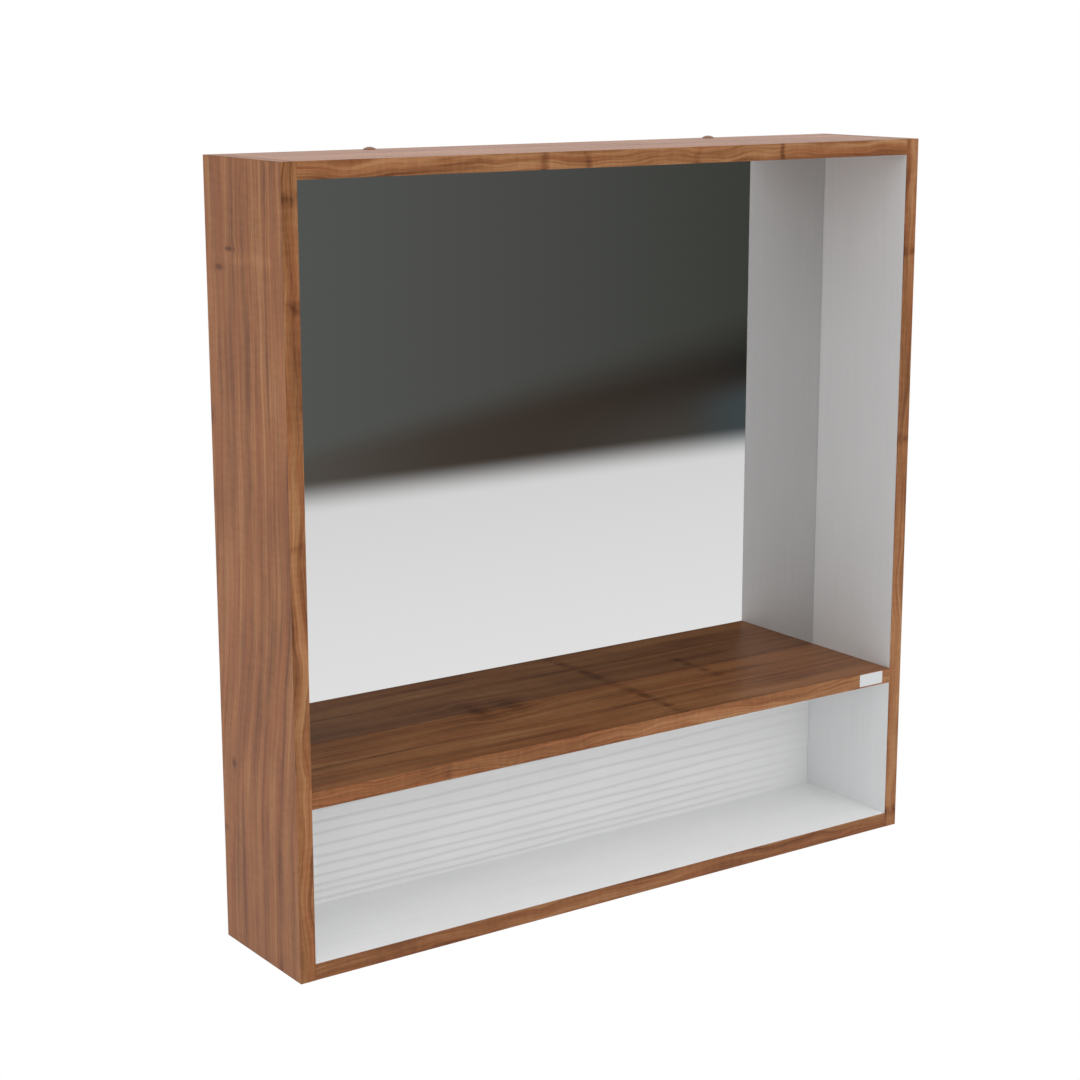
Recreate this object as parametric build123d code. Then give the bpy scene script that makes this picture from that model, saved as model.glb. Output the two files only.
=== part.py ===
from build123d import *
import os
from math import cos, radians, sin

# An open mirror cabinet for a wall: four butt-jointed boards, a fixed shelf with an open niche
# under it, and a mirror on the back board. Millimetres. X runs to the right as seen from the
# front, the front faces -Y and +Z is up. The origin is the middle of the underside.

# Carcass
width = 600.0
height = 600.0
bay_depth = 100.0  # from the front edges to the face of the mirror
niche_height = 120.0  # clear height under the shelf
core_thickness = 12.0
laminate_thickness = 0.4
band_thickness = 0.4
band_edge_radius = 0.3
back_side_clearance = 0.2

# Mirror and the foam tape behind it
mirror_thickness = 2.0
mirror_side_clearance = 0.3
mirror_top_clearance = 1.0
tape_thickness = 1.0
tape_width = 19.0
tape_pitch = 130.0
tape_count = 4
tape_end_margin = 40.0

# Joints between the level boards and the sides, all on one drilling pattern
joint_setback = 51.5  # from the front edge to the cam
joint_pitch = 32.0  # from the cam to the dowel on each side of it
fit = 0.05  # radial clearance of what is pushed or screwed into wood
spill = 1.0  # how far a cut runs out past the face that it starts from
flats = 10  # sides of the fluted dowels, the bolts, the screws and their holes
cam_flats = 20  # sides of the cams and their bores

dowel_diameter = 6.0
dowel_length = 25.0
dowel_depth_in_side = 9.0
dowel_chamfer = 0.6
dowel_end_clearance = 0.3

cam_diameter = 15.0
cam_height = 9.5
cam_setback = 24.0  # from the board's end to the cam's axis
cam_clearance = 0.1
cam_chamber_diameter = 10.8
cam_eccentricity = 1.1
cam_entry_angle = 150.0  # from the bolt round to the hole that its head came in by
cam_recess_length = 7.0
cam_recess_width = 1.3
cam_recess_depth = 2.0

bolt_thread_diameter = 5.0
bolt_thread_length = 9.0
bolt_collar_diameter = 7.0
bolt_collar_height = 1.2
bolt_shank_diameter = 6.0
bolt_neck_diameter = 3.4
bolt_neck_clearance = 0.3
bolt_head_diameter = 6.6
bolt_head_thickness = 2.2
bolt_head_clearance = 0.2
bolt_channel_diameter = 8.0

# Screws that hold the back board
back_screw_spacing = 328.0
shelf_screw_pitch = 200.0
screw_diameter = 4.0
screw_head_diameter = 8.0
screw_head_height = 2.6
screw_length = 40.0
screw_sink = 0.2  # how far the head lies below the surface
screw_recess_length = 4.4
screw_recess_width = 1.0
screw_recess_depth = 1.8

# Brown caps over the two upper screws
cap_diameter = 10.0
cap_height = 2.0
cap_rim = 0.4
cap_peg_depth = 1.2
cap_peg_clearance = 0.1

# Keyhole plates that the cabinet hangs on
hanger_spacing = 440.0
hanger_drop = 60.0  # from the top of the cabinet to the plate's middle
hanger_length = 50.0
hanger_width = 18.0
hanger_thickness = 1.5
hanger_clearance = 0.1
hanger_screw_spacing = 38.0
keyhole_diameter = 10.0
keyhole_slot_width = 5.2
keyhole_travel = 13.0
keyhole_pocket_width = 12.0
keyhole_pocket_depth = 8.0
plate_screw_diameter = 3.0
plate_screw_head_diameter = 5.6
plate_screw_head_height = 1.4
plate_screw_length = 10.0
plate_screw_recess_length = 3.0
plate_screw_recess_width = 0.8
plate_screw_recess_depth = 0.9

# Limits that follow from the sizes above
board = core_thickness + 2 * laminate_thickness
depth = bay_depth + mirror_thickness + tape_thickness + board
front, rear = -depth / 2, depth / 2
core_front = front + band_thickness
mirror_face = front + bay_depth
mirror_back = mirror_face + mirror_thickness
back_face = rear - board
inner = width / 2 - board
shelf_low = board + niche_height
shelf_top = shelf_low + board
ceiling = height - board
mirror_top = ceiling - mirror_top_clearance
back_middle = rear - board / 2
cam_axis_y = front + joint_setback
cam_bore_depth = board / 2 + bolt_head_diameter / 2 + bolt_head_clearance


def block(x, y, z):
    """The block between a low and a high limit along each axis."""
    limits = (x, y, z)
    corner = Pos(*[low for low, high in limits])
    return corner * Box(*[high - low for low, high in limits], align=(Align.MIN,) * 3)


def placed(shape, at, direction):
    """A shape drawn from the origin along +Z, moved to a point and turned to run along direction."""
    return Plane(origin=at, z_dir=direction) * shape


def rod(diameter, length, start=0.0, sides=flats):
    """A many-sided bar along +Z."""
    return Pos(0, 0, start) * extrude(RegularPolygon(diameter / 2, sides), length)


def turned(*outline):
    """A many-sided solid about Z from points given as (radius, height), lowest first."""
    rings = [(z, Pos(0, 0, z) * RegularPolygon(radius, flats)) for radius, z in outline]
    spans = [
        loft([ring, next_ring], ruled=True)
        for (low, ring), (high, next_ring) in zip(rings, rings[1:])
        if high > low
    ]
    return spans[0] + spans[1:]


def cross(length, breadth, deep):
    """Two crossed bars that start on the XY plane and run along +Z."""
    upright = (Align.CENTER, Align.CENTER, Align.MIN)
    return Box(length, breadth, deep, align=upright) + Box(breadth, length, deep, align=upright)


def fastener(diameter, head_diameter, head_height, length, grow=0.0, lead=0.0):
    """A countersunk screw from its head's face along +Z, or with grow and lead the hole it takes."""
    radius, head = diameter / 2 + grow, head_diameter / 2 + grow
    point = length + grow
    return turned(
        (head, -lead),
        (head, 0),
        (radius, head_height),
        (radius, point - diameter),
        (radius / 2, point),
    )


board_screw_size = (
    screw_diameter,
    screw_head_diameter,
    screw_head_height,
    screw_length,
)
plate_screw_size = (
    plate_screw_diameter,
    plate_screw_head_diameter,
    plate_screw_head_height,
    plate_screw_length,
)


def board_screw():
    recess = cross(screw_recess_length, screw_recess_width, screw_recess_depth)
    return Pos(0, 0, screw_sink) * (fastener(*board_screw_size) - recess)


def board_screw_hole():
    hole = fastener(*board_screw_size, grow=fit, lead=screw_sink + spill)
    return Pos(0, 0, screw_sink) * hole


def screw_cap():
    """A domed cap whose cross-shaped peg presses into the screw's recess."""
    edge, crown = (cap_diameter / 2, cap_rim), (0, cap_height)
    rise = cap_height - cap_rim
    sphere = (edge[0] ** 2 + rise**2) / (2 * rise)
    middle = (edge[0] / 2, cap_height - sphere + (sphere**2 - (edge[0] / 2) ** 2) ** 0.5)
    outline = Polyline(crown, (0, 0), (edge[0], 0), edge) + ThreePointArc(edge, middle, crown)
    dome = revolve(make_face(Plane.XZ * outline), Axis.Z)
    bar = screw_recess_width - 2 * cap_peg_clearance
    reach = screw_recess_length - 2 * cap_peg_clearance
    peg = cross(reach, bar, screw_sink + cap_peg_depth)
    return dome + Pos(0, 0, -screw_sink - cap_peg_depth) * peg


def dowel():
    radius, start = dowel_diameter / 2, -dowel_depth_in_side
    end = start + dowel_length
    return turned(
        (radius - dowel_chamfer, start),
        (radius, start + dowel_chamfer),
        (radius, end - dowel_chamfer),
        (radius - dowel_chamfer, end),
    )


def dowel_hole():
    reach = dowel_length + 2 * dowel_end_clearance
    start = -dowel_depth_in_side - dowel_end_clearance
    return rod(dowel_diameter + 2 * fit, reach, start)


def cam_bolt():
    """From the side board's face at the origin: thread below, and neck and head in the cam above."""
    thread, shank, neck = bolt_thread_diameter / 2, bolt_shank_diameter / 2, bolt_neck_diameter / 2
    collar, head = bolt_collar_diameter / 2, bolt_head_diameter / 2
    neck_start = cam_setback - cam_diameter / 2 - bolt_neck_clearance
    head_start = cam_setback - bolt_head_thickness
    return turned(
        (thread, -bolt_thread_length),
        (thread, 0),
        (collar, 0),
        (collar, bolt_collar_height),
        (shank, bolt_collar_height),
        (shank, neck_start),
        (neck, neck_start),
        (neck, head_start),
        (head, head_start),
        (head, cam_setback),
    )


def bolt_hole():
    """The thread's hole in the side board and the wide channel in the level board's end."""
    thread = rod(bolt_thread_diameter + 2 * fit, bolt_thread_length + fit, -bolt_thread_length - fit)
    return thread + rod(bolt_channel_diameter, cam_setback)


def cam_lock():
    """The cam from its driven face up, locked on a bolt head whose neck leaves along +X."""
    entry = radians(-cam_entry_angle)
    towards_entry = (cos(entry), sin(entry))
    bolt_height = board / 2
    floor = bolt_height - bolt_head_diameter / 2 - bolt_head_clearance
    slot = bolt_neck_diameter + 2 * bolt_neck_clearance
    drum = rod(cam_diameter - 2 * cam_clearance, cam_height, sides=cam_flats)
    chamber = rod(cam_chamber_diameter, cam_height, floor)
    sweep = Cylinder(
        cam_diameter, slot, arc_size=cam_entry_angle, align=(Align.NONE, Align.NONE, Align.CENTER)
    )
    doorway = rod(bolt_head_diameter + 2 * bolt_neck_clearance, cam_diameter)
    return drum - [
        Pos(*[cam_eccentricity * part for part in towards_entry], 0) * chamber,
        Pos(0, 0, bolt_height) * Rot(0, 0, -cam_entry_angle) * sweep,
        placed(rod(slot, cam_diameter), (0, 0, bolt_height), (1, 0, 0)),
        placed(doorway, (0, 0, bolt_height), (*towards_entry, 0)),
        cross(cam_recess_length, cam_recess_width, cam_recess_depth),
    ]


def placed_on_back(shape):
    """From a sketch of the back seen from behind, with +Y up, to the rear face of the cabinet."""
    return Plane(origin=(0, 0, 0), x_dir=(-1, 0, 0), z_dir=(0, 1, 0)) * shape


def hanger_plate():
    """A keyhole plate on the XZ plane whose rear face is at y = 0, with the hole low, the slot up."""
    plate = extrude(SlotOverall(hanger_length, hanger_width, rotation=90), -hanger_thickness)
    hole = Pos(0, -keyhole_travel / 2) * Circle(keyhole_diameter / 2)
    slot = SlotCenterToCenter(keyhole_travel, keyhole_slot_width, rotation=90)
    plate -= extrude(hole + slot, -hanger_thickness)
    return placed_on_back(plate) - [at * plate_screw_hole() for at in plate_screw_places()]


def hanger_pocket():
    """The recess that the plate lies in and the deeper pocket for the wall screw's head."""
    seat = SlotOverall(
        hanger_length + 2 * hanger_clearance, hanger_width + 2 * hanger_clearance, rotation=90
    )
    pocket = SlotCenterToCenter(keyhole_travel, keyhole_pocket_width, rotation=90)
    return placed_on_back(
        extrude(seat, -hanger_thickness) + extrude(pocket, -keyhole_pocket_depth)
    )


def plate_screw_places():
    turn = Plane(origin=(0, 0, 0), z_dir=(0, -1, 0)).location
    return [Pos(0, 0, side * hanger_screw_spacing / 2) * turn for side in (-1, 1)]


def plate_screw():
    recess = cross(plate_screw_recess_length, plate_screw_recess_width, plate_screw_recess_depth)
    return fastener(*plate_screw_size) - recess


def plate_screw_hole():
    return fastener(*plate_screw_size, grow=fit, lead=spill)


def joint_places():
    """Each end of each level board: its side, and where its board's middle meets the side."""
    levels = (board / 2, (shelf_low + shelf_top) / 2, ceiling + board / 2)
    return [(side, side * inner, level) for side in (-1, 1) for level in levels]


def joint_parts(shape, offsets):
    """A copy of a shape at each joint and offset along Y, running into the level board."""
    return [
        placed(shape, (x, cam_axis_y + offset, z), (-side, 0, 0))
        for side, x, z in joint_places()
        for offset in offsets
    ]


dowel_offsets = (-joint_pitch, joint_pitch)
dowels = joint_parts(dowel(), dowel_offsets)
bolts = joint_parts(cam_bolt(), (0,))
joint_holes = joint_parts(dowel_hole(), dowel_offsets) + joint_parts(bolt_hole(), (0,))


def cam_places():
    """The axis of each cam on its board's underside, turned so that +X points to the board's end."""
    return [
        Pos(x - side * cam_setback, cam_axis_y, z - board / 2) * Rot(0, 0, 90 - 90 * side)
        for side, x, z in joint_places()
    ]


cams = [place * cam_lock() for place in cam_places()]
cam_bore = rod(cam_diameter, cam_bore_depth, sides=cam_flats)
cam_bores = [place * cam_bore for place in cam_places()]

back_screw_sides = (-back_screw_spacing / 2, back_screw_spacing / 2)
shelf_screw_sides = (-shelf_screw_pitch, 0, shelf_screw_pitch)
back_screw_starts = (
    [((x, back_middle, height), (0, 0, -1)) for x in back_screw_sides]
    + [((x, back_middle, 0), (0, 0, 1)) for x in back_screw_sides]
    + [((x, rear, (shelf_low + shelf_top) / 2), (0, -1, 0)) for x in shelf_screw_sides]
)
back_screws = [placed(board_screw(), *start) for start in back_screw_starts]
back_screw_holes = [placed(board_screw_hole(), *start) for start in back_screw_starts]
caps = [Pos(x, back_middle, height) * screw_cap() for x in back_screw_sides]

hangers = [Pos(side * hanger_spacing / 2, rear, height - hanger_drop) for side in (-1, 1)]
hanger_plates = [place * hanger_plate() for place in hangers]
hanger_pockets = [place * hanger_pocket() for place in hangers]
plate_screws = [p * at * plate_screw() for p in hangers for at in plate_screw_places()]
plate_screw_holes = [p * at * plate_screw_hole() for p in hangers for at in plate_screw_places()]


def band(x, z, along):
    """A strip on the front edges between two limits along X and Z, its long front edges eased."""
    strip = block(x, (front, core_front), z)
    easing = min(band_edge_radius, 0.9 * band_thickness)
    return fillet(strip.edges().filter_by(along).group_by(Axis.Y)[0], easing)


def side_board(name, side):
    """A side board over the full height, from its outer laminate to its white inner one."""
    depths = (core_front, rear)
    heights = (band_thickness, height - band_thickness)

    def slab(near, far):
        x = sorted((side * (width / 2 - near), side * (width / 2 - far)))
        return block(x, depths, heights)

    outside = sorted((side * width / 2, side * inner))
    core_inner = board - laminate_thickness
    return {
        f"{name}_core": slab(laminate_thickness, core_inner) - joint_holes,
        f"{name}_outer_laminate": slab(0, laminate_thickness),
        f"{name}_inner_laminate": slab(core_inner, board) - joint_holes,
        f"{name}_front_band": band(outside, (0, height), Axis.Z),
        f"{name}_end_bands": [
            block(outside, depths, (0, band_thickness)),
            block(outside, depths, (height - band_thickness, height)),
        ],
    }


def level_board(name, low, back_limit):
    """A board between the sides, with bores in its ends and underside for the joints."""
    x, depths, top = (-inner, inner), (core_front, back_limit), low + board
    cuts = joint_holes + cam_bores + back_screw_holes
    return {
        f"{name}_core": block(x, depths, (low + laminate_thickness, top - laminate_thickness))
        - cuts,
        f"{name}_upper_laminate": block(x, depths, (top - laminate_thickness, top)) - cuts,
        f"{name}_under_laminate": block(x, depths, (low, low + laminate_thickness)) - cuts,
        f"{name}_front_band": band(x, (low, top), Axis.X),
    }


def back_board():
    """The board between the others at the rear, behind the mirror, the shelf and the niche."""
    half = inner - back_side_clearance
    x, z = (-half, half), (board, ceiling)
    cuts = back_screw_holes + hanger_pockets + plate_screw_holes
    inside = (back_face + laminate_thickness, rear - laminate_thickness)
    return {
        "back_board_core": block(x, inside, z) - cuts,
        "back_board_front_laminate": block(x, (back_face, inside[0]), z) - cuts,
        "back_board_rear_laminate": block(x, (inside[1], rear), z) - cuts,
    }


def mirror():
    """The pane, which stands on the shelf, and the upright tape strips behind it."""
    half = inner - mirror_side_clearance
    first = -tape_pitch * (tape_count - 1) / 2
    heights = (shelf_top + tape_end_margin, mirror_top - tape_end_margin)
    strips = [
        block((x - tape_width / 2, x + tape_width / 2), (mirror_back, back_face), heights)
        for x in [first + tape_pitch * n for n in range(tape_count)]
    ]
    return {
        "mirror_pane": block((-half, half), (mirror_face, mirror_back), (shelf_top, mirror_top)),
        "mirror_tape": strips,
    }


parts = {
    **side_board("left_side", -1),
    **side_board("right_side", 1),
    **level_board("top_board", ceiling, rear),
    **level_board("bottom_board", 0, rear),
    **level_board("shelf", shelf_low, back_face),
    **back_board(),
    **mirror(),
    "dowels": dowels,
    "cam_bolts": bolts,
    "cam_locks": cams,
    "back_board_screws": back_screws,
    "screw_caps": caps,
    "hanger_plates": hanger_plates,
    "hanger_screws": plate_screws,
}

os.makedirs("parts", exist_ok=True)
for node, shape in parts.items():
    solids = [s for piece in (shape if isinstance(shape, list) else [shape]) for s in piece.solids()]
    export_step(Compound(solids) if len(solids) > 1 else solids[0], f"parts/{node}.step")
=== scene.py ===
from math import cos, pi, radians, sin

import bmesh
import bpy
from mathutils import Matrix, Vector


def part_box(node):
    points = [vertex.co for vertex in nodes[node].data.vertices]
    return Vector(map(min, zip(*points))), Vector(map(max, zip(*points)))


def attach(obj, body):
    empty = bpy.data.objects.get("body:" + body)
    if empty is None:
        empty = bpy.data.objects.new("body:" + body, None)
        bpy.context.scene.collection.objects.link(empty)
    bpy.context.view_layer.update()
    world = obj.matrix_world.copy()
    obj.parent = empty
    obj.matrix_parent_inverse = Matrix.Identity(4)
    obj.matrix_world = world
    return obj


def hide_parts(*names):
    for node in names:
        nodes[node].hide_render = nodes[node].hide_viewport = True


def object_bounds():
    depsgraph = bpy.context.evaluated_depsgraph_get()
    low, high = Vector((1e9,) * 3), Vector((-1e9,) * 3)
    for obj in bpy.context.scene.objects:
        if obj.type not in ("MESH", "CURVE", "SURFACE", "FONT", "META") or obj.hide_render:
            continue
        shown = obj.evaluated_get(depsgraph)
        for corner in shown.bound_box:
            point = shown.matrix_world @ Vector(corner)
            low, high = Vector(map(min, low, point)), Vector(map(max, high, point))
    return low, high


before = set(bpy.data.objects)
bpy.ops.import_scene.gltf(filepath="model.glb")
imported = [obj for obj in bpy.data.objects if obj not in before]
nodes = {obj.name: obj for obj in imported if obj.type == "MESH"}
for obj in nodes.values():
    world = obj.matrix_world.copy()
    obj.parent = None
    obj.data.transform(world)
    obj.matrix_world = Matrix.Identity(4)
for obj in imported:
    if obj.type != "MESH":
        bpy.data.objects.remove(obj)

# An open mirror cabinet in walnut laminate with a white inside. The front faces -Y. The scene is in
# metres, and the pieces and the surface detail are written in millimetres.

MM = 0.001
cad_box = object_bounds()


def limits(node):
    """A node's lowest and highest corners in millimetres."""
    low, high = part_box(node)
    return low / MM, high / MM


carcass_low, carcass_high = (corner / MM for corner in cad_box)


# Colour

def srgb(red, green, blue, alpha=1.0):
    """A screen colour from 0 to 255 as the linear values that shaders take."""

    def linear(value):
        value /= 255
        return value / 12.92 if value <= 0.04045 else ((value + 0.055) / 1.055) ** 2.4

    return (linear(red), linear(green), linear(blue), alpha)


def grey(value):
    return srgb(value, value, value)


# Materials written as arithmetic on fields over the surface

class Field:
    """A number that varies over a surface, kept as an output socket of a material's nodes."""

    def __init__(self, surface, socket):
        self.surface = surface
        self.socket = socket

    def math(self, operation, *others):
        node = self.surface.add("ShaderNodeMath", operation=operation)
        for slot, value in zip(node.inputs, (self, *others)):
            self.surface.feed(slot, value)
        return Field(self.surface, node.outputs[0])

    def __add__(self, other):
        return self.math("ADD", other)

    def __sub__(self, other):
        return self.math("SUBTRACT", other)

    def __mul__(self, other):
        return self.math("MULTIPLY", other)

    def __truediv__(self, other):
        return self.math("DIVIDE", other)

    def __neg__(self):
        return self * -1

    __radd__ = __add__
    __rmul__ = __mul__

    def __rsub__(self, other):
        return other + -self

    def squared(self):
        return self * self

    def size(self):
        return self.math("ABSOLUTE")

    def clamped(self):
        return self.rise(0, 1, smooth=False)

    def rise(self, low, high, smooth=True):
        """0 up to low, 1 from high on, and in between a smooth or straight slope."""
        node = self.surface.add("ShaderNodeMapRange")
        node.interpolation_type = "SMOOTHSTEP" if smooth else "LINEAR"
        for slot, value in zip(node.inputs, (self, low, high)):
            self.surface.feed(slot, value)
        return Field(self.surface, node.outputs[0])

    def near(self, middle, reach):
        """1 at the middle, falling to 0 at a distance of reach on both sides."""
        return 1 - (self - middle).size().rise(0, reach)


class Shading:
    """A node tree under construction, with fields x, y and z from one texture coordinate."""

    def __init__(self, tree, coordinate, unit=1.0):
        self.tree = tree
        place = self.add("ShaderNodeTexCoord").outputs[coordinate]
        split = self.add("ShaderNodeSeparateXYZ")
        self.feed(split.inputs[0], place)
        self.x, self.y, self.z = (Field(self, socket) / unit for socket in split.outputs)

    def add(self, kind, **settings):
        node = self.tree.nodes.new(kind)
        for name, value in settings.items():
            setattr(node, name, value)
        return node

    def feed(self, slot, value):
        if isinstance(value, Field):
            value = value.socket
        if isinstance(value, bpy.types.NodeSocket):
            self.tree.links.new(value, slot)
        else:
            slot.default_value = value

    def noise(self, x, y, z=0.0, detail=2.0, roughness=0.5):
        """Fractal noise from 0 to 1 whose cells are one unit wide."""
        joined = self.add("ShaderNodeCombineXYZ")
        for slot, value in zip(joined.inputs, (x, y, z)):
            self.feed(slot, value)
        node = self.add("ShaderNodeTexNoise")
        self.feed(node.inputs["Vector"], joined.outputs[0])
        self.feed(node.inputs["Scale"], 1.0)
        self.feed(node.inputs["Detail"], detail)
        self.feed(node.inputs["Roughness"], roughness)
        return Field(self, node.outputs[0])

    def ramp(self, amount, stops):
        """A colour that runs through (place, colour) stops."""
        node = self.add("ShaderNodeValToRGB")
        elements = node.color_ramp.elements
        elements[0].position, elements[0].color = stops[0]
        elements[1].position, elements[1].color = stops[-1]
        for place, colour in stops[1:-1]:
            elements.new(place).color = colour
        self.feed(node.inputs[0], amount)
        return node.outputs[0]

    def mixed(self, amount, first, second):
        """The first colour where the amount is 0 and the second where it is 1."""
        node = self.add("ShaderNodeMix", data_type="RGBA")
        for slot, value in ((0, amount), (6, first), (7, second)):
            self.feed(node.inputs[slot], value)
        return node.outputs[2]

    def blended(self, amount, first, second):
        """The first shader where the amount is 0 and the second where it is 1."""
        node = self.add("ShaderNodeMixShader")
        for slot, value in zip(node.inputs, (amount, first, second)):
            self.feed(slot, value)
        return node.outputs[0]

    def shader(self, kind, **values):
        """The output of a shader node whose inputs are given by name."""
        node = self.add(kind)
        for name, value in values.items():
            self.feed(node.inputs[name], value)
        return node.outputs[0]


class Surface(Shading):
    """A material under construction. x, y and z are the surface's place in millimetres."""

    def __init__(self, name):
        self.material = bpy.data.materials.new(name)
        self.material.use_nodes = True
        super().__init__(self.material.node_tree, "Object", MM)
        self.finish = self.tree.nodes["Principled BSDF"]

    def set(self, **values):
        """Sets the finish's inputs, such as roughness or base_color."""
        for name, value in values.items():
            self.feed(self.finish.inputs[name.replace("_", " ").title().replace("Ior", "IOR")], value)
        return self

    def bump(self, height, distance):
        """Relief from a height of 0 to 1 that stands for a distance in millimetres."""
        node = self.add("ShaderNodeBump")
        self.feed(node.inputs["Distance"], distance * MM)
        self.feed(node.inputs["Height"], height)
        self.feed(self.finish.inputs["Normal"], node.outputs[0])
        return self


# Walnut laminate

# Dark, middle and light of the tan stripes and of the redder ones
walnut_tan = (104, 60, 31), (156, 104, 65), (190, 142, 100)
walnut_red = (102, 54, 27), (156, 98, 60), (187, 133, 91)
everywhere = (-1000, 1000)


def walnut(
    name,
    along,
    across,
    seed,
    tint=(1, 1, 1),
    waves=(14, 170),
    figure=1.0,
    bends=(),
    knots=(),
    streaks=(),
    marks=(),
    shine=0.2,
    gloss=0.42,
):
    """Walnut whose grain runs along one of x, y and z, with the other one across it.

    waves are the height and the length of the grain's wander, and figure is its contrast.
    bends are (start, end, shift): from start to end along the grain, it moves across by shift.
    knots are (along, across, length, breadth, strength), streaks (across, breadth, strength) and
    marks, which cross the grain, (along, across_low, across_high, breadth, strength).
    """
    surface = Surface(name)
    run, side = getattr(surface, along), getattr(surface, across)
    wave_height, wave_length = waves
    wander = surface.noise(run / wave_length, side / 60, seed) - 0.5
    ripple = surface.noise(run / 26, side / 9, seed + 7) - 0.5
    grain = side + wander * wave_height + ripple * 1.8
    for start, end, shift in bends:
        grain = grain + run.rise(start, end) * shift
    shade = 0
    for at_run, at_side, length, breadth, strength in knots:
        spread = ((run - at_run) / length).squared() + ((side - at_side) / breadth).squared()
        pull = (spread * -1).math("EXPONENT")
        grain = grain - (side - at_side) * pull * 0.6
        shade = shade + (spread * -4).math("EXPONENT") * strength
    broad = surface.noise(run / 320, grain / 10, seed + 20)
    lines = surface.noise(run / 130, grain / 2.4, seed + 40, detail=3, roughness=0.6)
    fibres = surface.noise(run / 30, grain / 0.8, seed + 60, detail=3, roughness=0.65)
    clouds = surface.noise(run / 80, side / 40, seed + 80)
    chatter = surface.noise(run / 4, side / 14, seed + 90)
    pores = surface.noise(run / 9, grain / 0.42, seed + 100, detail=1).rise(0.6, 0.74)
    layers = ((broad, 1.0), (lines, 0.95), (fibres, 0.5), (clouds, 0.45), (chatter, 0.22))
    tone = 0.5 + sum((layer - 0.5) * weight for layer, weight in layers) * figure
    fade = surface.noise(run / 60, grain / 15, seed + 160).rise(0.35, 0.62)
    for at_grain, breadth, strength in streaks:
        tone = tone - grain.near(at_grain, breadth) * (0.3 + fade * 0.7) * strength
    for at_run, low, high, breadth, strength in marks:
        waver = run + (surface.noise(side / 9, run / 40, seed + 120) - 0.5) * 7
        patchy = surface.noise(side / 7, run / 12, seed + 140).rise(0.3, 0.6)
        reach = side.rise(low - 4, low + 4) * (1 - side.rise(high - 4, high + 4))
        shade = shade + waver.near(at_run, breadth) * (0.25 + patchy * 0.75) * reach * strength
    tone = (tone - shade - pores * 0.12).clamped()

    def stripes(colours):
        tinted = [srgb(*[value * share for value, share in zip(colour, tint)]) for colour in colours]
        return surface.ramp(tone, list(zip((0.0, 0.5, 1.0), tinted)))

    redness = surface.noise(run / 160, grain / 6, seed + 180).rise(0.38, 0.62)
    surface.set(
        base_color=surface.mixed(redness, stripes(walnut_tan), stripes(walnut_red)),
        roughness=gloss + pores * 0.15 + (fibres - 0.5) * 0.08,
        specular_ior_level=shine,
    )
    return surface.bump(fibres * 0.4 - pores, 0.05).material


# White laminate with an embossed grain, board core, metals and plastics

cleared_white = grey(242)


def white_laminate(name, along, across, seed, base=(241, 242, 242), clearing=None):
    """White laminate. With clearing, its base turns to plain white along X between two places."""
    surface = Surface(name)
    run, side = getattr(surface, along), getattr(surface, across)
    wander = surface.noise(run / 120, side / 50, seed) - 0.5
    grain = side + wander * 9
    ridges = surface.noise(run / 150, grain / 1.5, seed + 20, roughness=0.6)
    ticks = surface.noise(run / 14, grain / 0.5, seed + 40, detail=1)
    clouds = surface.noise(run / 80, side / 30, seed + 60)
    tone = 0.5 + (ridges - 0.5) * 0.5 + (ticks - 0.5) * 0.25 + (clouds - 0.5) * 0.3
    dark, light = (srgb(*[value + change for value in base]) for change in (-14, 8))
    colour = surface.ramp(tone.clamped(), [(0.0, dark), (1.0, light)])
    if clearing:
        colour = surface.mixed(surface.x.rise(*clearing), colour, cleared_white)
    surface.set(base_color=colour)
    surface.set(roughness=0.44 + (ticks - 0.5) * 0.12)
    return surface.bump(ridges * 0.7 + ticks * 0.3, 0.1).material


def board_core():
    """Pale brown fibreboard, seen only at cut edges."""
    surface = Surface("fibreboard")
    fibre = surface.noise(surface.x / 0.9, surface.y / 0.9, surface.z / 0.5, detail=4, roughness=0.7)
    clouds = surface.noise(surface.x / 25, surface.y / 25, surface.z / 6)
    tone = 0.5 + (fibre - 0.5) * 1.1 + (clouds - 0.5) * 0.4
    stops = [(0.0, srgb(140, 112, 80)), (0.5, srgb(176, 148, 112)), (1.0, srgb(204, 180, 146))]
    surface.set(base_color=surface.ramp(tone.clamped(), stops), roughness=0.82 + (fibre - 0.5) * 0.1)
    return surface.bump(fibre, 0.2).material


def metal(name, colour, roughness, grain, relief):
    surface = Surface(name)
    cloud = surface.noise(surface.x / 5, surface.y / 5, surface.z / 5, detail=3)
    speck = surface.noise(surface.x / grain, surface.y / grain, surface.z / grain, detail=2)
    tone = (cloud - 0.5) * 0.8 + (speck - 0.5) * 0.6 + 0.5
    dark, light = ([value * share for value in colour] for share in (0.82, 1.06))
    surface.set(
        base_color=surface.ramp(tone.clamped(), [(0.0, srgb(*dark)), (1.0, srgb(*light))]),
        roughness=roughness + (cloud - 0.5) * 0.18 + (speck - 0.5) * 0.1,
        metallic=1.0,
    )
    return surface.bump(speck, relief).material


mirror_silver = grey(218)


def mirror_glass():
    """Silvered glass with a faint haze."""
    surface = Surface("mirror_glass")
    haze = surface.noise(surface.x / 70, surface.z / 70, 3, detail=3)
    surface.set(base_color=mirror_silver, roughness=haze.rise(0.35, 0.8) * 0.012, metallic=1.0)
    return surface.material


def foam():
    surface = Surface("foam")
    cells = surface.noise(surface.x / 0.6, surface.y / 0.6, surface.z / 0.6, detail=3, roughness=0.7)
    stops = [(0.0, grey(168)), (1.0, grey(224))]
    surface.set(base_color=surface.ramp(cells.rise(0.3, 0.7), stops), roughness=0.9 - cells * 0.1)
    return surface.bump(cells, 0.15).material


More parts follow.
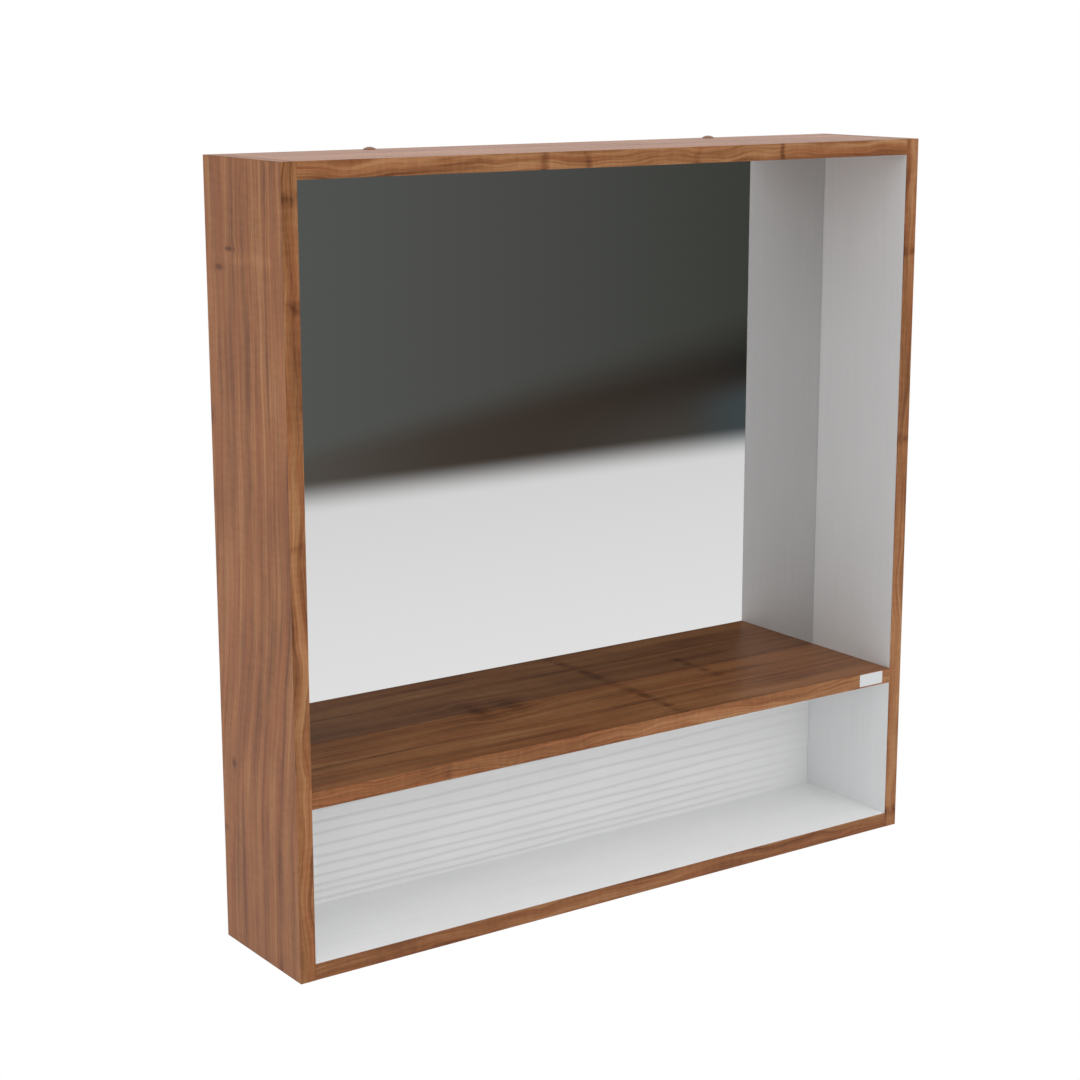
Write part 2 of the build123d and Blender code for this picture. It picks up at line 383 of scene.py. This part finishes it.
def beech(name):
    surface = Surface(name)
    fibre = surface.noise(surface.x / 12, surface.y / 0.5, surface.z / 0.5, detail=3)
    flecks = surface.noise(surface.x / 2.5, surface.y / 0.3, surface.z / 0.3).rise(0.6, 0.7)
    stops = [(0.0, srgb(176, 134, 92)), (1.0, srgb(224, 190, 146))]
    surface.set(base_color=surface.ramp((fibre - flecks * 0.2).clamped(), stops))
    surface.set(roughness=0.6 + flecks * 0.1)
    return surface.bump(fibre, 0.08).material


def moulded_plastic(name, dark, light, roughness):
    surface = Surface(name)
    grain = surface.noise(surface.x / 0.35, surface.y / 0.35, surface.z / 0.35, detail=2)
    cloud = surface.noise(surface.x / 4, surface.y / 4, surface.z / 4)
    tone = 0.5 + (grain - 0.5) * 0.5 + (cloud - 0.5) * 0.5
    colour = surface.ramp(tone.clamped(), [(0.0, srgb(*dark)), (1.0, srgb(*light))])
    surface.set(base_color=colour, roughness=roughness + (grain - 0.5) * 0.15)
    return surface.bump(grain, 0.02).material


def label_film():
    surface = Surface("label_film")
    fibre = surface.noise(surface.x / 0.8, surface.z / 0.4, 5, detail=3)
    stops = [(0.0, srgb(206, 209, 210)), (1.0, srgb(224, 227, 228))]
    surface.set(base_color=surface.ramp(fibre, stops), roughness=0.5 + (fibre - 0.5) * 0.1)
    return surface.bump(fibre, 0.01).material


def paint(node, material):
    """Gives a node's mesh one material in every slot."""
    mesh = nodes[node].data
    mesh.materials.clear()
    mesh.materials.append(material)


side_grain = dict(along="z", across="y")
level_grain = dict(along="x", across="y")
front = carcass_low.y
mirror_face = limits("mirror_pane")[0].y

paint(
    "left_side_outer_laminate",
    walnut(
        "walnut_left",
        seed=3,
        tint=(1.0, 0.97, 0.91),
        bends=[(310, 100, -28)],
        knots=[
            (535, front + 80, 3, 11, 0.6),
            (521, front + 96, 4, 10, 0.6),
            (145, front + 96, 7, 6, 0.6),
            (410, front + 114, 14, 7, 0.35),
            (350, front + 115, 16, 6, 0.35),
            (90, front + 114, 6, 12, 0.3),
        ],
        streaks=[
            (front + 26, 4.5, 0.3),
            (front + 58, 5.5, 0.22),
            (front - 1, 6, 0.3),
        ],
        marks=[(529, front + 15, front + 85, 7, -0.16)],
        **side_grain,
    ),
)
paint("right_side_outer_laminate", walnut("walnut_right", seed=13, **side_grain))
# The top's tint lightens its print and blues it most: a painted sheen of the light from above, added to
# its real gloss
paint(
    "top_board_upper_laminate",
    walnut("walnut_top", seed=23, tint=(1.04, 1.06, 1.18), shine=0.6, **level_grain),
)
paint("top_board_under_laminate", walnut("walnut_top_under", seed=33, **level_grain))
paint("bottom_board_under_laminate", walnut("walnut_underside", seed=43, **level_grain))
paint(
    "shelf_upper_laminate",
    walnut(
        "walnut_shelf_painted_shade",
        seed=53,
        # This tint darkens the shelf's print and warms it: painted shade
        tint=(0.86, 0.85, 0.79),
        knots=[
            (-77, front + 95, 18, 26, 0.36),
            (-43, front + 96, 24, 24, 0.32),
            (62, front + 60, 6, 12, 0.25),
            (60, front + 24, 5, 10, 0.22),
            (152, front + 88, 6, 9, 0.2),
        ],
        streaks=[(front + 46, 3, 0.25)],
        marks=[
            (62, front, mirror_face, 10, 0.3),
            (152, front + 66, mirror_face, 9, 0.26),
            (-10, front + 35, mirror_face, 60, -0.12),
        ],
        gloss=0.38,
        **level_grain,
    ),
)

# The edge bands show the same print in strips. Their last entries are the knots that they cross, as
# (place, breadth, strength).
band_tint = (0.95, 0.95, 0.93)
bottom_band_tint = (0.91, 0.9, 0.88)
upright_band = dict(along="z", across="x", waves=(24, 100), figure=1.45)
level_band = dict(along="x", across="z", waves=(24, 100), figure=1.35)
end_band = dict(along="y", across="x", waves=(20, 60))
bands = [
    ("left_side_front_band", band_tint, upright_band, [(575, 9, 0.35), (500, 8, 0.38), (330, 9, 0.2)]),
    ("right_side_front_band", band_tint, upright_band, [(508, 6, 0.4), (347, 7, 0.38), (14, 7, 0.5)]),
    (
        "top_board_front_band",
        band_tint,
        level_band,
        [(-80, 6, 0.4), (-40, 5, 0.35), (65, 6, 0.22), (151, 4, 0.5)],
    ),
    ("bottom_board_front_band", bottom_band_tint, level_band, []),
    ("shelf_front_band", band_tint, level_band, [(-170, 5, 0.3)]),
    ("left_side_end_bands", band_tint, end_band, []),
    ("right_side_end_bands", band_tint, end_band, []),
]
for number, (node, tint, grain, crossings) in enumerate(bands):
    marks = [(place, *everywhere, breadth, strength) for place, breadth, strength in crossings]
    paint(node, walnut(f"walnut_{node}", seed=63 + 10 * number, tint=tint, marks=marks, **grain))

white_walls = white_laminate("white_walls", "z", "y", 203, base=(241, 242, 243))
white_levels = white_laminate("white_levels", "x", "y", 213, base=(241.7, 242, 242))
white_back = white_laminate("white_back", "x", "z", 223, base=(244.7, 245, 245))
for node in ("left_side_inner_laminate", "right_side_inner_laminate"):
    paint(node, white_walls)
for node in ("bottom_board_upper_laminate", "shelf_under_laminate"):
    paint(node, white_levels)
for node in ("back_board_front_laminate", "back_board_rear_laminate"):
    paint(node, white_back)

core_material = board_core()
for node in nodes:
    if node.endswith("_core"):
        paint(node, core_material)
plated = metal("plated_steel", (196, 194, 188), 0.34, 0.3, 0.01)
paint("mirror_pane", mirror_glass())
paint("mirror_tape", foam())
paint("dowels", beech("beech"))
paint("cam_locks", metal("die_cast_zinc", (164, 166, 168), 0.48, 0.5, 0.03))
for node in ("cam_bolts", "back_board_screws", "hanger_plates", "hanger_screws"):
    paint(node, plated)
paint("screw_caps", moulded_plastic("brown_plastic", (118, 78, 56), (148, 104, 78), 0.42))


# Pieces with finer shapes than the CAD solids carry

sharp_edge = radians(35)


def make_piece(name, shape, materials, slot, *replaced):
    """Makes a piece of the cabinet from a bmesh in millimetres."""
    bmesh.ops.scale(shape, vec=(MM, MM, MM), verts=shape.verts)
    bmesh.ops.recalc_face_normals(shape, faces=shape.faces)
    for face in shape.faces:
        face.smooth = True
    for edge in shape.edges:
        edge.smooth = edge.calc_face_angle(0.0) < sharp_edge
    mesh = bpy.data.meshes.new(name)
    shape.to_mesh(mesh)
    shape.free()
    for material in materials:
        mesh.materials.append(material)
    piece = bpy.data.objects.new(name, mesh)
    bpy.context.scene.collection.objects.link(piece)
    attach(piece, "root")
    if replaced:
        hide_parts(*replaced)


def skin(shape, rings):
    """Faces between rings of as many vertices each."""
    for ring, next_ring in zip(rings, rings[1:]):
        for number in range(len(ring)):
            ahead = (number + 1) % len(ring)
            shape.faces.new((ring[number], ring[ahead], next_ring[ahead], next_ring[number]))


def loop_edges(shape, ring):
    return [shape.edges.get((ring[number - 1], ring[number])) for number in range(len(ring))]


# The niche's back: the white laminate's pressed grain, low steps whose spacing widens upward. As on a
# weatherboard, the face below each step leans back, here by the groove's depth.

# The faces of each step also carry painted shade: darker white laminates stand in for the shade under the
# steps.
groove_count = 12
lowest_groove = 16.5
groove_pitch = 5.75
pitch_growth = 0.29
groove_reach = 2.0
groove_depth = 0.3
# Each row of a groove: its place up the groove, its share of the depth, and the painted shade on the faces
# above it (0 none, 1 light, 2 deep)
step_profile = [
    (-1, 0.85, 1),
    (-0.5, 0.98, 2),
    (-0.2, 0.9, 2),
    (0.1, 0.5, 2),
    (0.4, 0.1, 1),
    (0.7, 0, 0),
    (1, 0, 0),
]
# Bases of the light and the deep painted shade on the steps
painted_groove_shades = 239, 230
groove_clearing = (130, 330)  # where the painted shade on the grooves fades out to the right
climb_ends = (-80, 260)  # where the grooves start and end to climb
first_climb, added_climb = 2.0, 0.2  # of the lowest groove, and more for each one above it
wavers = (0.5, 37, 1.9), (0.25, 14, 4.1)  # reach, length, and shift from groove to groove
shallow_ends = (170, 280)  # where the grooves get shallower, by this share
shallow_share = 0.75
depth_waver = (0.25, 61, 2.3)
column_count = 72
shelf_screw_pitch = 200
screw_hole = 2.1  # half the side of the square hole around each of the shelf's screws


def slope(value, low, high):
    """A smooth step from 0 at low to 1 at high."""
    share = min(max((value - low) / (high - low), 0), 1)
    return share * share * (3 - 2 * share)


def groove_height(number, x):
    """The height of a groove, which climbs a little to the right and wavers."""
    height = lowest_groove + groove_pitch * number + pitch_growth * number**2
    height += (first_climb + added_climb * number) * slope(x, *climb_ends)
    for reach, length, shift in wavers:
        height += reach * sin(x / length + shift * number)
    return height


def groove_sink(number, x):
    """The depth of a groove, which wavers and gets shallower to the right."""
    reach, length, shift = depth_waver
    fade = 1 - shallow_share * slope(x, *shallow_ends)
    return groove_depth * fade * (1 - reach + reach * sin(x / length + shift * number))


def embossed_back():
    low, high = limits("back_board_front_laminate")
    shelf_low, shelf_high = limits("shelf_core")
    screw_height = (shelf_low.z + shelf_high.z) / 2
    holes = [place * shelf_screw_pitch for place in (-1, 0, 1)]
    across = [low.x + (high.x - low.x) * number / column_count for number in range(column_count + 1)]
    across = [x for x in across if all(abs(x - hole) > screw_hole + 1 for hole in holes)]
    across = sorted(across + [hole + side * screw_hole for hole in holes for side in (-1, 1)])
    rows = [[(x, low.y, low.z) for x in across]]
    painted_shades = [0]
    for number in range(groove_count):
        for share, depth, shade in step_profile:
            rise = share * groove_reach
            sinks = [low.y + depth * groove_sink(number, x) for x in across]
            rows.append([(x, y, groove_height(number, x) + rise) for x, y in zip(across, sinks)])
            painted_shades.append(shade)
    for z in (screw_height - screw_hole, screw_height + screw_hole, high.z):
        rows.append([(x, low.y, z) for x in across])
        painted_shades.append(0)
    shape = bmesh.new()
    grid = [[shape.verts.new(corner) for corner in row] for row in rows]
    for row, upper_row, shade in zip(grid, grid[1:], painted_shades):
        for number in range(len(across) - 1):
            middle = (row[number].co + upper_row[number + 1].co) / 2
            if all(abs(middle.x - hole) > 1 or abs(middle.z - screw_height) > 1 for hole in holes):
                corners = row[number], row[number + 1], upper_row[number + 1], upper_row[number]
                face = shape.faces.new(corners)
                face.material_index = shade
    rim = [edge for edge in shape.edges if edge.is_boundary]
    walls = bmesh.ops.extrude_edge_only(shape, edges=rim)["geom"]
    rear = [item for item in walls if isinstance(item, bmesh.types.BMVert)]
    for corner in rear:
        corner.co.y = high.y
    rear_edges = [edge for edge in shape.edges if edge.is_boundary]
    bmesh.ops.triangle_fill(shape, edges=rear_edges, normal=(0, 1, 0), use_beauty=True)
    # The darker laminates paint shade onto the steps and fade to plain white towards the right
    materials = [white_back]
    for value in painted_groove_shades:
        base = (value, value, value)
        materials.append(white_laminate(f"groove_{value}", "x", "z", 223, base, groove_clearing))
    make_piece("embossed_niche_back", shape, materials, "white_laminate", "back_board_front_laminate")


embossed_back()


# A small blank plate where the photograph shows a label on the shelf's front edge

label_low, label_high = (252.3, 134.1), (278.5, 144.8)
label_thickness = 0.12
label_corner = 0.9
label_bevel = 0.05
label_corner_steps = 6


def label_plate():
    shape = bmesh.new()

    corners = [label_high, (label_low[0], label_high[1]), label_low, (label_high[0], label_low[1])]

    def ring(y, inset):
        places = []
        for turn, (x, z) in enumerate(corners):
            inward_x = -1 if x > label_low[0] else 1
            inward_z = -1 if z > label_low[1] else 1
            centre_x, centre_z = x + inward_x * label_corner, z + inward_z * label_corner
            for step in range(label_corner_steps + 1):
                angle = (turn + step / label_corner_steps) * pi / 2
                radius = label_corner - inset
                places.append((centre_x + radius * cos(angle), y, centre_z + radius * sin(angle)))
        return [shape.verts.new(place) for place in places]

    rings = [
        ring(front, 0),
        ring(front - label_thickness + label_bevel, 0),
        ring(front - label_thickness, label_bevel),
    ]
    skin(shape, rings)
    shape.faces.new(rings[0])
    shape.faces.new(rings[-1])
    make_piece("blank_label", shape, [label_film()], "white_laminate")


label_plate()


# Cross-head screws, round where the CAD solids have ten sides

screw_sides = 40
head_edge = 0.12
head_land = 0.3
tip_share = 0.2  # of the shank's radius
recess_taper = 0.72
# Each recess is (reach, breadth, depth)
board_screw = dict(diameter=4.0, head=8.0, head_height=2.6, length=40.0, recess=(4.4, 1.0, 1.8))
plate_screw = dict(diameter=3.0, head=5.6, head_height=1.4, length=10.0, recess=(3.0, 0.8, 0.9))


def add_screw(shape, place, diameter, head, head_height, length, recess):
    """A countersunk screw with its head's face at the place's origin and its shank along +Z."""
    radius, head_radius = diameter / 2, head / 2
    recess_reach, recess_breadth, recess_depth = recess
    outline = [
        (head_radius - head_edge, 0),
        (head_radius, head_edge),
        (head_radius, head_land),
        (radius, head_height),
        (radius, length - diameter),
        (radius * tip_share, length),
    ]

    def vertices(points):
        return [shape.verts.new(place @ Vector(point)) for point in points]

    def circle(ring_radius, height):
        angles = [2 * pi * number / screw_sides for number in range(screw_sides)]
        return vertices([(ring_radius * cos(angle), ring_radius * sin(angle), height) for angle in angles])

    def cross(scale, height):
        reach, half = recess_reach / 2 * scale, recess_breadth / 2 * scale
        corners = (reach, -half), (reach, half), (half, half)
        quarter = [Vector((*corner, height)) for corner in corners]
        turns = [Matrix.Rotation(pi / 2 * number, 3, "Z") for number in range(4)]
        return vertices([turn @ corner for turn in turns for corner in quarter])

    rings = [circle(*point) for point in outline]
    skin(shape, rings)
    shape.faces.new(rings[-1])
    walls = [cross(1.0, 0), cross(recess_taper, recess_depth)]
    skin(shape, walls)
    shape.faces.new(walls[-1])
    face_edges = loop_edges(shape, rings[0]) + loop_edges(shape, walls[0])
    outward = place.to_3x3() @ Vector((0, 0, -1))
    bmesh.ops.triangle_fill(shape, edges=face_edges, normal=outward, use_beauty=True)


def driven(x, y, z, towards):
    """The frame of a screw whose head is at a place and whose shank runs towards a direction."""
    turn = Vector(towards).to_track_quat("Z", "Y").to_matrix().to_4x4()
    return Matrix.Translation((x, y, z)) @ turn


screw_sink = 0.2
cap_spacing = 328
hanger_spacing = 440
hanger_drop = 60
hanger_screw_spacing = 38


def back_board_screws():
    shelf_low, shelf_high = limits("shelf_core")
    core_low, core_high = limits("back_board_core")
    middle_y = (core_low.y + core_high.y) / 2
    shelf_middle = (shelf_low.z + shelf_high.z) / 2
    top = limits("top_board_upper_laminate")[1].z
    shape = bmesh.new()
    for side in (-1, 1):
        x = side * cap_spacing / 2
        add_screw(shape, driven(x, middle_y, top - screw_sink, (0, 0, -1)), **board_screw)
        add_screw(shape, driven(x, middle_y, carcass_low.z + screw_sink, (0, 0, 1)), **board_screw)
    for place in (-1, 0, 1):
        x = place * shelf_screw_pitch
        add_screw(shape, driven(x, carcass_high.y - screw_sink, shelf_middle, (0, -1, 0)), **board_screw)
    make_piece("back_screws", shape, [plated], "plated_steel", "back_board_screws")


def hanger_screws():
    top = limits("top_board_upper_laminate")[1].z
    shape = bmesh.new()
    for side in (-1, 1):
        for end in (-1, 1):
            z = top - hanger_drop + end * hanger_screw_spacing / 2
            place = driven(side * hanger_spacing / 2, carcass_high.y, z, (0, -1, 0))
            add_screw(shape, place, **plate_screw)
    make_piece("plate_screws", shape, [plated], "plated_steel", "hanger_screws")


back_board_screws()
hanger_screws()


# Stage: a white floor, a dark room in front of the cabinet that only reflections show, and soft light

white = (1, 1, 1, 1)
floor_half = 20.0
floor_drop = 0.0005
floor_end = -1.42  # how far in front of the cabinet the pale floor ends in reflections
floor_blur = 0.12
floor_start = -0.45  # in reflections, the floor is brightest from here to the cabinet
far_light, near_light = 0.91, 1.045


def stage_floor():
    mesh = bpy.data.meshes.new("floor")
    signs = (-1, -1), (1, -1), (1, 1), (-1, 1)
    corners = [(x * floor_half, y * floor_half, -floor_drop) for x, y in signs]
    mesh.from_pydata(corners, [], [(0, 1, 2, 3)])
    floor = bpy.data.objects.new("floor", mesh)
    bpy.context.scene.collection.objects.link(floor)
    surface = Surface("white_floor")
    rays = surface.add("ShaderNodeLightPath").outputs
    depth = surface.y * MM
    lit = surface.shader("ShaderNodeBsdfDiffuse", Color=grey(232))
    seen = surface.shader("ShaderNodeEmission", Color=white)
    fade = depth.rise(floor_end, floor_start, smooth=False)
    far, near = ((light, light, light, 1) for light in (far_light, near_light))
    shade = surface.mixed(fade, far, near)
    mirrored = surface.shader("ShaderNodeEmission", Color=shade)
    gone = surface.shader("ShaderNodeBsdfTransparent")
    ends = 1 - depth.rise(floor_end - floor_blur, floor_end + floor_blur)
    reflected = surface.blended(ends, mirrored, gone)
    shown = surface.blended(rays["Is Camera Ray"], lit, seen)
    shown = surface.blended(rays["Is Glossy Ray"], shown, reflected)
    surface.feed(surface.tree.nodes["Material Output"].inputs["Surface"], shown)
    mesh.materials.append(surface.material)


stage_floor()


# The dark room by where a reflected ray meets a wall one unit in front: across to the right, and up

floor_line = -0.2335  # where the pale floor ends, as a height on that wall
wedge_left = 0.563  # where the brown wedge above the floor starts to rise
wedge_height = 0.0254
wedge_slope = 0.15
room_right = 0.86  # where the mirror's view of the room ends
nearly_level = 0.05  # keeps rays that miss the wall from dividing by zero


def in_mirror(*colour):
    """The light that the mirror turns into a screen colour."""
    return tuple(value / silver for value, silver in zip(srgb(*colour), mirror_silver))


def dark_room(sky):
    ahead = (-sky.y).math("MAXIMUM", nearly_level)
    across, up = sky.x / ahead, sky.z / ahead
    walls = sky.ramp(
        across.rise(0.45, room_right, smooth=False),
        [(0.0, in_mirror(86, 89, 86)), (0.5, in_mirror(75, 76, 74)), (1.0, in_mirror(57, 59, 54))],
    )
    wedge = sky.ramp(
        across.rise(0.54, room_right, smooth=False),
        [
            (0.0, in_mirror(80, 76, 71)),
            (0.3, in_mirror(64, 57, 51)),
            (0.55, in_mirror(56, 48, 42)),
            (0.85, in_mirror(45, 40, 36)),
            (1.0, in_mirror(33, 33, 32)),
        ],
    )
    top = (across - wedge_left) * wedge_slope + wedge_height
    height = (up - floor_line) / top.math("MAXIMUM", 0.01)
    foot = (1 - height.rise(0.05, 0.75)) * across.rise(0.66, 0.8)
    wedge = sky.mixed(foot * 0.75, wedge, in_mirror(70, 66, 61))
    gleam = across.rise(0.79, 0.85) * (1 - height.rise(0.3, 0.6))
    wedge = sky.mixed(gleam, wedge, in_mirror(60, 68, 70))
    return sky.mixed(height.rise(0.6, 1.2), wedge, walls)


world_light = 0.76
wall_behind = grey(232)


def studio_world():
    """White to the camera, soft light on the object, and a dark room in what the mirror shows."""
    world = bpy.data.worlds.new("studio")
    bpy.context.scene.world = world
    world.use_nodes = True
    world.node_tree.nodes.clear()
    sky = Shading(world.node_tree, "Generated")
    rays = sky.add("ShaderNodeLightPath").outputs
    behind = sky.y.rise(-0.25, 0.15)
    light = sky.shader("ShaderNodeBackground", Color=white, Strength=world_light)
    clear = sky.shader("ShaderNodeBackground", Color=white, Strength=1.0)
    room = sky.shader("ShaderNodeBackground", Color=sky.mixed(behind, dark_room(sky), wall_behind))
    shown = sky.blended(rays["Is Camera Ray"], light, clear)
    shown = sky.blended(rays["Is Transmission Ray"], shown, clear)
    shown = sky.blended(rays["Is Glossy Ray"], shown, room)
    sky.feed(sky.add("ShaderNodeOutputWorld").inputs["Surface"], shown)


studio_world()


centre = Vector((0, 0, 0.3))


def lamp(name, place, breadth, watts):
    """A square lamp that shines on the cabinet's middle."""
    data = bpy.data.lights.new(name, "AREA")
    data.shape = "RECTANGLE"
    data.size, data.size_y, data.energy = breadth, breadth, watts
    light = bpy.data.objects.new(name, data)
    light.location = place
    light.rotation_euler = (centre - Vector(place)).to_track_quat("-Z", "Y").to_euler()
    bpy.context.scene.collection.objects.link(light)


lamp("overhead_lamp", place=(0, 0, 4.0), breadth=5.0, watts=31)
lamp("front_lamp", place=(0, -3.0, 3.0), breadth=3.0, watts=42)


# Camera at the photograph's viewing angle

camera_place = (-1.0475, -1.4331, 0.6858)
camera_yaw = -0.6159
camera_pitch = -0.2180
sensor_width = 36.0
image_width = 1080
lens_pixels = 2257.4
image_middle = image_width / 2
optical_middle = (550.896, 532.749)

camera_data = bpy.data.cameras.new("camera")
camera_data.sensor_width = sensor_width
camera_data.lens = sensor_width * lens_pixels / image_width
camera_data.shift_x = (image_middle - optical_middle[0]) / image_width
camera_data.shift_y = (optical_middle[1] - image_middle) / image_width
camera = bpy.data.objects.new("camera", camera_data)
camera.location = camera_place
camera.rotation_euler = (pi / 2 + camera_pitch, 0, camera_yaw)
bpy.context.scene.collection.objects.link(camera)
bpy.context.scene.camera = camera
bpy.context.scene.view_settings.view_transform = "Standard"
